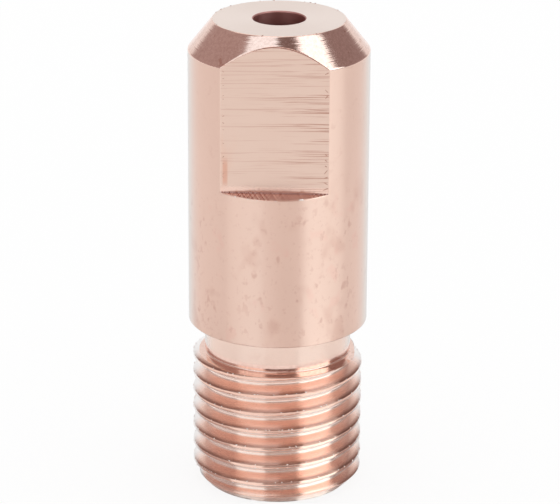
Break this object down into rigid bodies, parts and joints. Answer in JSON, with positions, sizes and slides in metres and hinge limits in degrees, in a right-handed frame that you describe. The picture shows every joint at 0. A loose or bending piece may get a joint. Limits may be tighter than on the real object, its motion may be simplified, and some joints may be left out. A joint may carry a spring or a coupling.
{
  "type": "welding contact tip",
  "caption": "Turned copper welding contact tip with a wire bore, chamfered nose, wrench flats, shoulder, relief neck and external screw thread.",
  "frame": {"origin": "centre of the threaded end face, on the axis", "axes": "+Z along the axis, from the threaded end to the nose; -Y towards the wrench flat that the picture shows"},
  "size_m": [0.01, 0.01, 0.027],
  "materials": {
    "copper": "bright turned copper with fine tool marks"
  },
  "bodies": {
    "root": {"contact_tip": "copper"}
  },
  "joints": []
}
